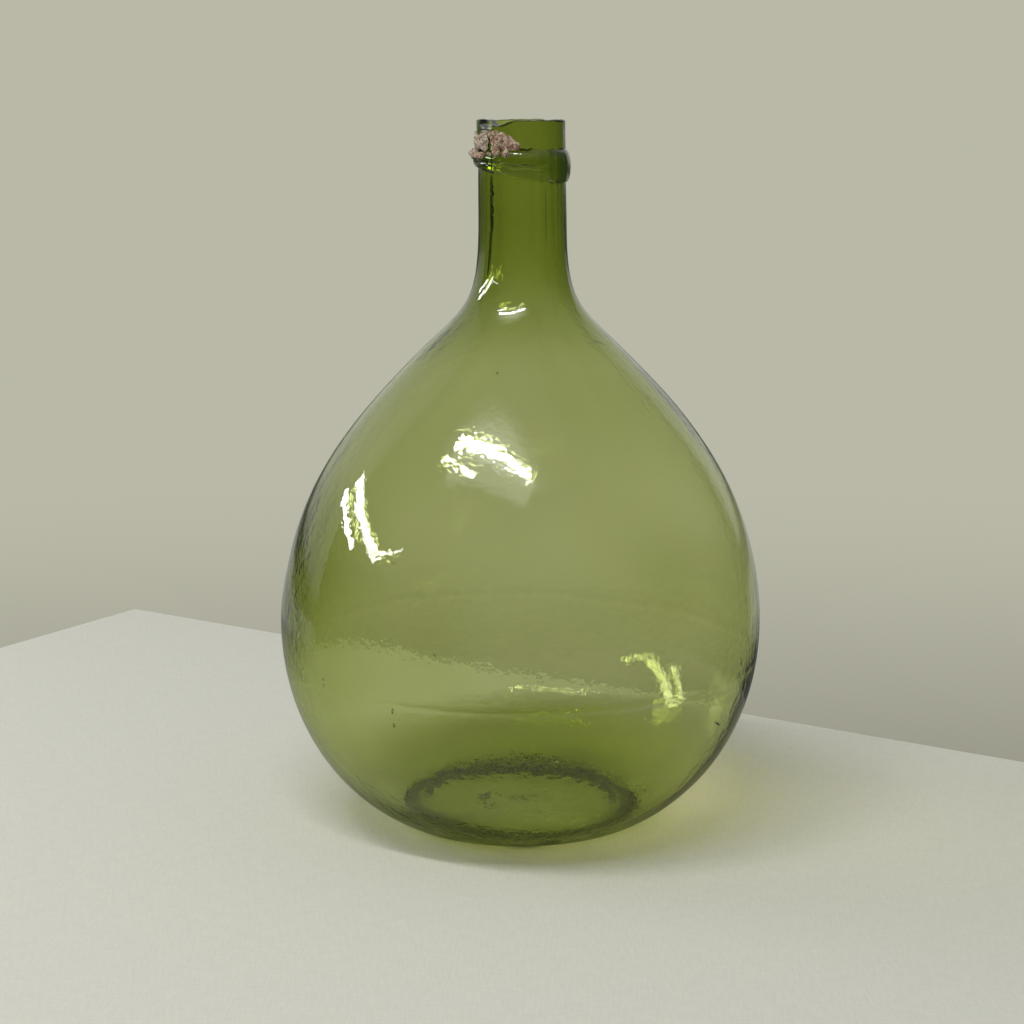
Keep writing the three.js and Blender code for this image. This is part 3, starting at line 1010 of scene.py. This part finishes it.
# Surroundings. A height is the sine of a direction's elevation,
# and a row of four is two heights, or two distances, and the brightness at each.
BACKDROP = (-0.36, -0.17, 0.55, 1.0)
AMBIENT = 0.35
ABOVE = (0.0, 0.8, 0.10, 0.5)
BEHIND_SIDES = (((0.375, 0.927, 0), 0.03), ((-0.743, 0.669, 0), 0.1))  # each side's normal and softness
BEHIND_RANGE = (-0.3, 0.2)  # the heights between which the sector's brightness changes, and how it does
BEHIND_LEVELS = (
    (-0.27, 0.1),
    (-0.21, 0.45),
    (-0.125, 0.45),
    (-0.10, 0.12),
    (-0.04, 0.12),
    (-0.01, 0.5),
    (0.08, 0.72),
)
GLOW = (0.0, 0.5, 6.0, 0.0)  # by the distance from the overhead lamp's middle
GLOW_FLAT = 1.9  # how many times narrower it is upwards
GLOW_FROM = (-0.06, 0.02, 0, 1)
HAZE = (0.30, 0.38, 2.4, 0)  # by the distance to the side
HAZE_FROM = (-0.20, -0.09, 0, 1)
HAZE_TO = (0, 0.05, 1, 0)
LAMP_HALF = (0, 0.1, 0, 1)  # only in the half of the directions that the lamp is in


def floor():
    """A pale cloth-covered floor, thick enough to show its edge."""
    bpy.ops.object.select_all(action="DESELECT")
    length, width = FLOOR_SIZE
    corner = Vector((*FLOOR_CORNER, 0))
    middle = corner + polar(FLOOR_TURN) * (length / 2) + polar(FLOOR_TURN - 90) * (width / 2)
    bpy.ops.mesh.primitive_cube_add(
        size=1,
        location=(middle.x * MM, middle.y * MM, -FLOOR_THICKNESS / 2 * MM),
        rotation=(0, 0, math.radians(FLOOR_TURN)),
        scale=(length * MM, width * MM, FLOOR_THICKNESS * MM),
    )
    top = bpy.context.object
    top.name = "floor"
    bpy.ops.object.transform_apply(location=True, rotation=True, scale=True)
    dress(top, cotton())


def towards(azimuth, elevation):
    a, e = math.radians(azimuth), math.radians(elevation)
    return Vector((math.sin(a) * math.cos(e), -math.cos(a) * math.cos(e), math.sin(e)))


def strip(name, ends, away, width, power):
    """A long plain area light that faces the vessel, seen from it between two directions."""
    bpy.ops.object.select_all(action="DESELECT")
    first, last = [towards(*end) * away * MM for end in ends]
    bpy.ops.object.light_add(type="AREA", location=Vector(LIT_POINT) * MM + (first + last) / 2)
    lamp = bpy.context.object
    lamp.name = name
    lamp.data.shape = "RECTANGLE"
    lamp.data.size = (last - first).length
    lamp.data.size_y = width * MM
    lamp.data.energy = power
    back = (first + last).normalized()
    along = (last - first).normalized()
    lamp.rotation_euler = Matrix((along, back.cross(along), back)).transposed().to_euler()
    return lamp


def world(overhead):
    """What the glass sees round it: a pale backdrop through it, and dim surroundings mirrored in it."""
    surroundings = bpy.data.worlds.new("pale backdrop")
    bpy.context.scene.world = surroundings
    surroundings.use_nodes = True
    tree = surroundings.node_tree
    tree.nodes.clear()
    way = add_node(tree, "ShaderNodeTexCoord").outputs["Generated"]
    height = add_node(tree, "ShaderNodeSeparateXYZ", links={0: way}).outputs["Z"]

    def step(value, limits):
        links = {"Value": value, **dict(zip(("From Min", "From Max", "To Min", "To Max"), limits))}
        return add_node(tree, "ShaderNodeMapRange", {"interpolation_type": "SMOOTHSTEP"}, links).outputs[0]

    def combined(operation, *values):
        total = values[0]
        for value in values[1:]:
            links = {0: total, 1: value}
            total = add_node(tree, "ShaderNodeMath", {"operation": operation}, links).outputs[0]
        return total

    # The backdrop, darker far below
    backdrop = add_node(
        tree,
        "ShaderNodeVectorMath",
        settings={"operation": "SCALE"},
        links={0: srgb("bab9a8")[:3], "Scale": step(height, BACKDROP)},
    )
    seen = add_node(tree, "ShaderNodeBackground", links={"Color": backdrop.outputs[0]})
    light = add_node(tree, "ShaderNodeBackground", links={"Color": srgb("ffffff"), "Strength": AMBIENT})

    # The surroundings as they are mirrored: brighter above and in a sector behind
    behind = []
    for normal, soft in BEHIND_SIDES:
        off_plane = add_node(tree, "ShaderNodeVectorMath", {"operation": "DOT_PRODUCT"}, {0: way, 1: normal})
        behind.append(step(off_plane.outputs["Value"], (-soft, soft, 0, 1)))
    low, high = BEHIND_RANGE
    climb = add_node(tree, "ShaderNodeMapRange", links={"Value": height, "From Min": low, "From Max": high})
    levels = add_node(tree, "ShaderNodeValToRGB", links={0: climb.outputs[0]})
    stops = levels.color_ramp.elements
    stops.remove(stops[1])
    for i, (place, level) in enumerate(BEHIND_LEVELS):
        share = (place - low) / (high - low)
        stop = stops.new(share) if i else stops[0]
        stop.position = share
        stop.color = (level, level, level, 1)
    dim = combined("MAXIMUM", step(height, ABOVE), combined("MULTIPLY", levels.outputs[0], *behind))

    # A glow over the overhead lamp and a haze below it, in the lamp's own axes
    by_lamp = add_node(
        tree,
        "ShaderNodeMapping",
        settings={"vector_type": "TEXTURE"},
        links={"Vector": way, "Rotation": overhead.rotation_euler},
    )
    lamp_axes = add_node(tree, "ShaderNodeSeparateXYZ", links={0: by_lamp.outputs[0]})
    beside, upwards, lampwards = lamp_axes.outputs
    flat = add_node(
        tree,
        "ShaderNodeCombineXYZ",
        links={0: beside, 1: combined("MULTIPLY", upwards, GLOW_FLAT)},
    )
    off_middle = add_node(tree, "ShaderNodeVectorMath", {"operation": "LENGTH"}, {0: flat.outputs[0]})
    glow = combined("MULTIPLY", step(off_middle.outputs["Value"], GLOW), step(upwards, GLOW_FROM))
    to_side = add_node(tree, "ShaderNodeMath", {"operation": "ABSOLUTE"}, {0: beside}).outputs[0]
    haze = combined(
        "MULTIPLY",
        step(to_side, HAZE),
        step(upwards, HAZE_FROM),
        step(upwards, HAZE_TO),
        step(lampwards, LAMP_HALF),
    )
    strength = combined("ADD", dim, glow, haze)
    mirrored = add_node(tree, "ShaderNodeBackground", links={"Color": srgb("f4f6ee"), "Strength": strength})

    # Which kind of ray sees which of them
    path = add_node(tree, "ShaderNodeLightPath").outputs
    seen_or_through = combined("MAXIMUM", path["Is Camera Ray"], path["Is Transmission Ray"])
    specular = combined("MINIMUM", path["Is Reflection Ray"], path["Is Glossy Ray"])
    shader = light.outputs[0]
    for share, other in ((seen_or_through, seen), (specular, mirrored)):
        links = {0: share, 1: shader, 2: other.outputs[0]}
        shader = add_node(tree, "ShaderNodeMixShader", links=links).outputs[0]
    add_node(tree, "ShaderNodeOutputWorld", links={"Surface": shader})


floor()
lamps = {name: strip(name, **settings) for name, settings in LAMPS.items()}
world(lamps["overhead_light"])
